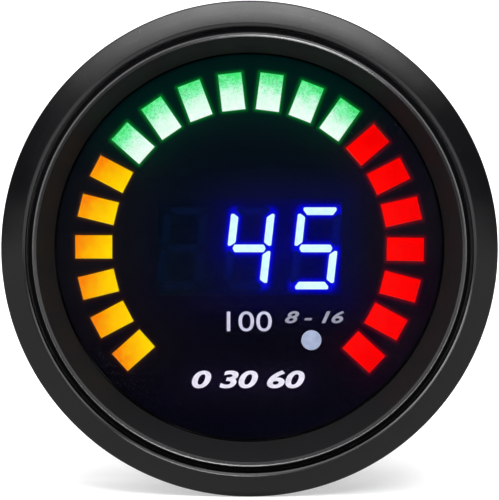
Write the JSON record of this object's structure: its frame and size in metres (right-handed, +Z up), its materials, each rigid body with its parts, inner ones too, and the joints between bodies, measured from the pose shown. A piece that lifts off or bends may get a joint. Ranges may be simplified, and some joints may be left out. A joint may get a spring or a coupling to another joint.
{
  "type": "boost gauge",
  "caption": "Round panel gauge with an arc of light segments, a digital display and a rear clamp bracket.",
  "frame": {"origin": "on the gauge's axis, in the plane of the bezel's back face, which rests on the panel", "axes": "+Y along the axis, away from the dial; the dial faces -Y; +Z up as the digits are read"},
  "size_m": [0.06, 0.0622, 0.06],
  "materials": {
    "moulded_black": "fine grained moulding",
    "gloss_black": "polished",
    "matte_black": "satin matte",
    "smoked_lens": "clear, lightly smoked",
    "gasket": "matte",
    "mask_film": "printed film",
    "white_moulding": "matte",
    "amber_guide": "lit, translucent",
    "green_guide": "lit, translucent",
    "red_guide": "lit, translucent",
    "light_source": "moulded",
    "indicator_lens": "translucent",
    "display_housing": "dark, lit by the bars",
    "bar_lit": "lit",
    "bar_dark": "unlit",
    "tinned_metal": "tinned",
    "board": "solder mask",
    "chip": "moulded",
    "connector": "moulded",
    "brass": "turned",
    "zinc_steel": "zinc plated",
    "black_steel": "blackened",
    "capacitor_can": "sleeved"
  },
  "bodies": {
    "gauge": {"case_barrel": "moulded_black", "bezel_ring": "gloss_black", "trim_ring": "matte_black", "lens": "smoked_lens", "lens_gasket": "gasket", "dial_mask": "mask_film", "light_box": "white_moulding", "amber_guides": "amber_guide", "green_guides": "green_guide", "red_guides": "red_guide", "amber_leds": "light_source", "green_leds": "light_source", "red_leds": "light_source", "indicator_guide": "indicator_lens", "indicator_led": "light_source", "display_module": "display_housing", "digit_bars_lit": "bar_lit", "digit_bars_dark": "bar_dark", "display_pins": "tinned_metal", "main_board": "board", "driver_chips": "chip", "controller_chip": "chip", "board_header": "connector", "board_spacers": "brass", "board_screws": "zinc_steel", "power_board": "board", "capacitors": "capacitor_can", "power_inductor": "chip", "voltage_regulator": "chip", "power_socket": "connector", "power_pins": "tinned_metal", "sensor_socket": "connector", "sensor_pins": "tinned_metal", "rear_cover": "moulded_black", "cover_seal": "gasket", "cover_screws": "black_steel", "studs": "zinc_steel"},
    "clamp": {"clamp_bracket": "zinc_steel", "flat_washers": "zinc_steel"},
    "nut_left": {"thumb_nut_left": "brass"},
    "nut_right": {"thumb_nut_right": "brass"}
  },
  "joints": [
    {"name": "clamp_slide", "type": "slide", "parent": "gauge", "child": "clamp", "axis": [0, 1, 0], "range_m": [-0.0042, 0.0084]},
    {"name": "nut_left_spin", "type": "hinge", "parent": "clamp", "child": "nut_left", "pos_m": [-0.017, 0.0393, 0], "axis": [0, 1, 0], "range_deg": [-2160, 4320]},
    {"name": "nut_right_spin", "type": "hinge", "parent": "clamp", "child": "nut_right", "pos_m": [0.017, 0.0393, 0], "axis": [0, 1, 0], "range_deg": [-2160, 4320]}
  ],
  "couplings": [
    {"joint": "nut_left_spin", "follows": "clamp_slide", "rad_per_m": 8976},
    {"joint": "nut_right_spin", "follows": "clamp_slide", "rad_per_m": 8976}
  ]
}
